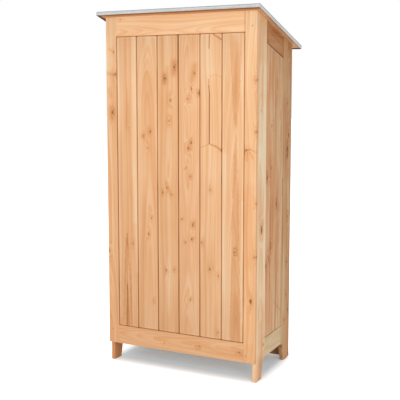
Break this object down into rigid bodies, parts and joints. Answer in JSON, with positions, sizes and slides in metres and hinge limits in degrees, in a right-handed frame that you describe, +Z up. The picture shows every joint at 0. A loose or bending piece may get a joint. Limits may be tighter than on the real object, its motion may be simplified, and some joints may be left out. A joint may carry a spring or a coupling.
{
  "type": "garden storage cabinet",
  "caption": "Tall free-standing wooden garden cabinet with flush board doors, framed sides on tapered feet, inner shelves and a sloping sheet-metal roof.",
  "frame": {"origin": "on the ground, under the middle of the object's box", "axes": "+Z up, doors face -Y, roof falls towards +Y"},
  "size_m": [0.9, 0.595, 1.8379],
  "materials": {
    "front_wood": "planed larch with an orange-salmon tone, knots and a fine sheen",
    "side_wood": "planed larch, paler sapwood on the corner stiles",
    "inner_wood": "planed softwood, untreated",
    "zinc_sheet": "galvanised sheet, dull grey with a soft mottle",
    "plated_steel": "zinc-plated turned steel",
    "dark_plastic": "moulded dark plastic"
  },
  "bodies": {
    "cabinet": {"front_stile_left": "front_wood", "front_stile_right": "front_wood", "front_top_rail": "front_wood", "front_bottom_rail": "front_wood", "side_left_front_stile": "side_wood", "side_left_rear_stile": "side_wood", "side_left_bottom_rail": "side_wood", "side_left_top_rail": "side_wood", "side_left_board_1": "side_wood", "side_left_board_2": "side_wood", "side_right_front_stile": "side_wood", "side_right_rear_stile": "side_wood", "side_right_bottom_rail": "side_wood", "side_right_top_rail": "side_wood", "side_right_board_1": "side_wood", "side_right_board_2": "side_wood", "back_board_1": "side_wood", "back_board_2": "side_wood", "back_board_3": "side_wood", "back_board_4": "side_wood", "back_board_5": "side_wood", "back_board_6": "side_wood", "back_rail_bottom": "inner_wood", "back_rail_top": "inner_wood", "floor_panel": "inner_wood", "floor_bearer_left": "inner_wood", "floor_bearer_right": "inner_wood", "shelf_lower": "inner_wood", "shelf_lower_cleat_left": "inner_wood", "shelf_lower_cleat_right": "inner_wood", "shelf_upper": "inner_wood", "shelf_upper_cleat_left": "inner_wood", "shelf_upper_cleat_right": "inner_wood", "door_stop_top": "inner_wood", "door_stop_bottom": "inner_wood", "roof_deck": "inner_wood", "pivot_pin_left_top": "plated_steel", "pivot_pin_left_bottom": "plated_steel", "pivot_pin_right_top": "plated_steel", "pivot_pin_right_bottom": "plated_steel", "catch_body_left": "dark_plastic", "catch_body_right": "dark_plastic", "roof_sheet": "zinc_sheet"},
    "door_left": {"door_left_board_1": "front_wood", "door_left_board_2": "front_wood", "door_left_board_3": "front_wood", "door_left_top_ledge": "inner_wood", "door_left_bottom_ledge": "inner_wood", "door_left_brace": "inner_wood", "door_left_strike_plate": "plated_steel"},
    "catch_plunger_left": {"catch_plunger_left": "dark_plastic"},
    "door_right": {"door_right_board_1": "front_wood", "door_right_board_2": "front_wood", "door_right_board_3": "front_wood", "door_right_top_ledge": "inner_wood", "door_right_bottom_ledge": "inner_wood", "door_right_brace": "inner_wood", "door_right_strike_plate": "plated_steel"},
    "catch_plunger_right": {"catch_plunger_right": "dark_plastic"}
  },
  "joints": [
    {"name": "door_left_swing", "type": "hinge", "parent": "cabinet", "child": "door_left", "pos_m": [-0.328, -0.24246, 0.95], "axis": [0, 0, -1], "range_deg": [0, 110]},
    {"name": "door_right_swing", "type": "hinge", "parent": "cabinet", "child": "door_right", "pos_m": [0.328, -0.24246, 0.95], "axis": [0, 0, 1], "range_deg": [0, 110]},
    {"name": "catch_left_press", "type": "slide", "parent": "cabinet", "child": "catch_plunger_left", "axis": [0, 1, 0], "range_m": [0, 0.003], "stiffness_N_per_m": 600},
    {"name": "catch_right_press", "type": "slide", "parent": "cabinet", "child": "catch_plunger_right", "axis": [0, 1, 0], "range_m": [0, 0.003], "stiffness_N_per_m": 600}
  ]
}
